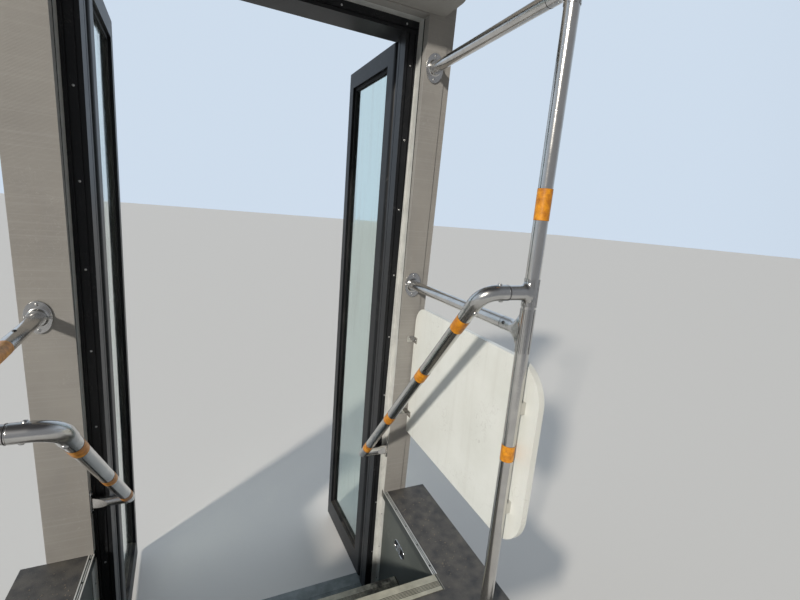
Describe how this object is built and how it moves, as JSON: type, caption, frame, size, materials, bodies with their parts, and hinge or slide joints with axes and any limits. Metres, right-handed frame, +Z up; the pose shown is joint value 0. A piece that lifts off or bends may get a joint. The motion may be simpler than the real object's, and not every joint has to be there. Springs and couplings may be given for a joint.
{
  "type": "minibus entrance section",
  "caption": "Entrance of a small bus: two outward-swinging glazed leaves in a black frame, step well with nosings, door posts, header cover, stanchions, grab rails and a modesty panel.",
  "frame": {"origin": "middle of the four body-mount bolts, on the underside of the floor rails, on the doorway's centre line", "axes": "+X to the rear of the bus, +Y out through the door, +Z up"},
  "size_m": [1.28, 1.2974, 2.38],
  "materials": {
    "black_frame": "satin",
    "wall_grey": "matt moulded lining",
    "trim_grey": "satin",
    "cover_grey": "matt paint",
    "stainless": "brushed, worn bright",
    "casting": "polished casting",
    "panel_white": "semi-gloss laminate",
    "nosing": "ribbed, worn",
    "floor_vinyl": "speckled, dusty",
    "well_paint": "satin",
    "plywood": "sealed edge",
    "chassis_paint": "satin",
    "rubber": "matt",
    "lock_metal": "worn",
    "tinted_glass": "tinted, dusty"
  },
  "bodies": {
    "entrance": {"floor_board": "plywood", "floor_covering": "floor_vinyl", "floor_rails": "chassis_paint", "floor_cross_sills": "chassis_paint", "step_pan": "well_paint", "well_side_front": "well_paint", "well_side_rear": "well_paint", "well_lock": "lock_metal", "tread_covers": "floor_vinyl", "step_nosings": "nosing", "well_edge_trims": "trim_grey", "jamb_front": "black_frame", "jamb_rear": "black_frame", "door_head": "black_frame", "door_sill": "nosing", "door_post_front": "wall_grey", "door_post_rear": "wall_grey", "post_trim_front": "wall_grey", "post_trim_rear": "wall_grey", "head_trim": "wall_grey", "reveal_bands": "trim_grey", "header_beam": "wall_grey", "header_cover": "cover_grey", "modesty_panel": "panel_white", "panel_clips": "stainless", "panel_brackets": "stainless", "stanchion_front": "stainless", "stanchion_flanges_front": "casting", "guard_rail_front": "stainless", "guard_fittings_front": "casting", "grab_rail_front": "stainless", "grab_fittings_front": "casting", "stanchion_rear": "stainless", "stanchion_flanges_rear": "casting", "guard_rail_rear": "stainless", "guard_fittings_rear": "casting", "grab_rail_rear": "stainless", "grab_fittings_rear": "casting", "overhead_rail_rear": "stainless", "overhead_fittings_rear": "casting"},
    "leaf_front": {"leaf_front_frame": "black_frame", "leaf_front_glass": "tinted_glass", "leaf_front_gasket": "rubber", "leaf_front_nose": "rubber", "leaf_front_pivots": "stainless"},
    "leaf_rear": {"leaf_rear_frame": "black_frame", "leaf_rear_glass": "tinted_glass", "leaf_rear_gasket": "rubber", "leaf_rear_nose": "rubber", "leaf_rear_pivots": "stainless"}
  },
  "joints": [
    {"name": "leaf_front_swing", "type": "hinge", "parent": "entrance", "child": "leaf_front", "pos_m": [-0.438, 0.513, 0.657], "axis": [0, 0, 1], "range_deg": [-93, 2]},
    {"name": "leaf_rear_swing", "type": "hinge", "parent": "entrance", "child": "leaf_rear", "pos_m": [0.438, 0.513, 0.657], "axis": [0, 0, 1], "range_deg": [-3, 87]}
  ],
  "couplings": [
    {"joint": "leaf_rear_swing", "follows": "leaf_front_swing", "ratio": -0.93548}
  ]
}
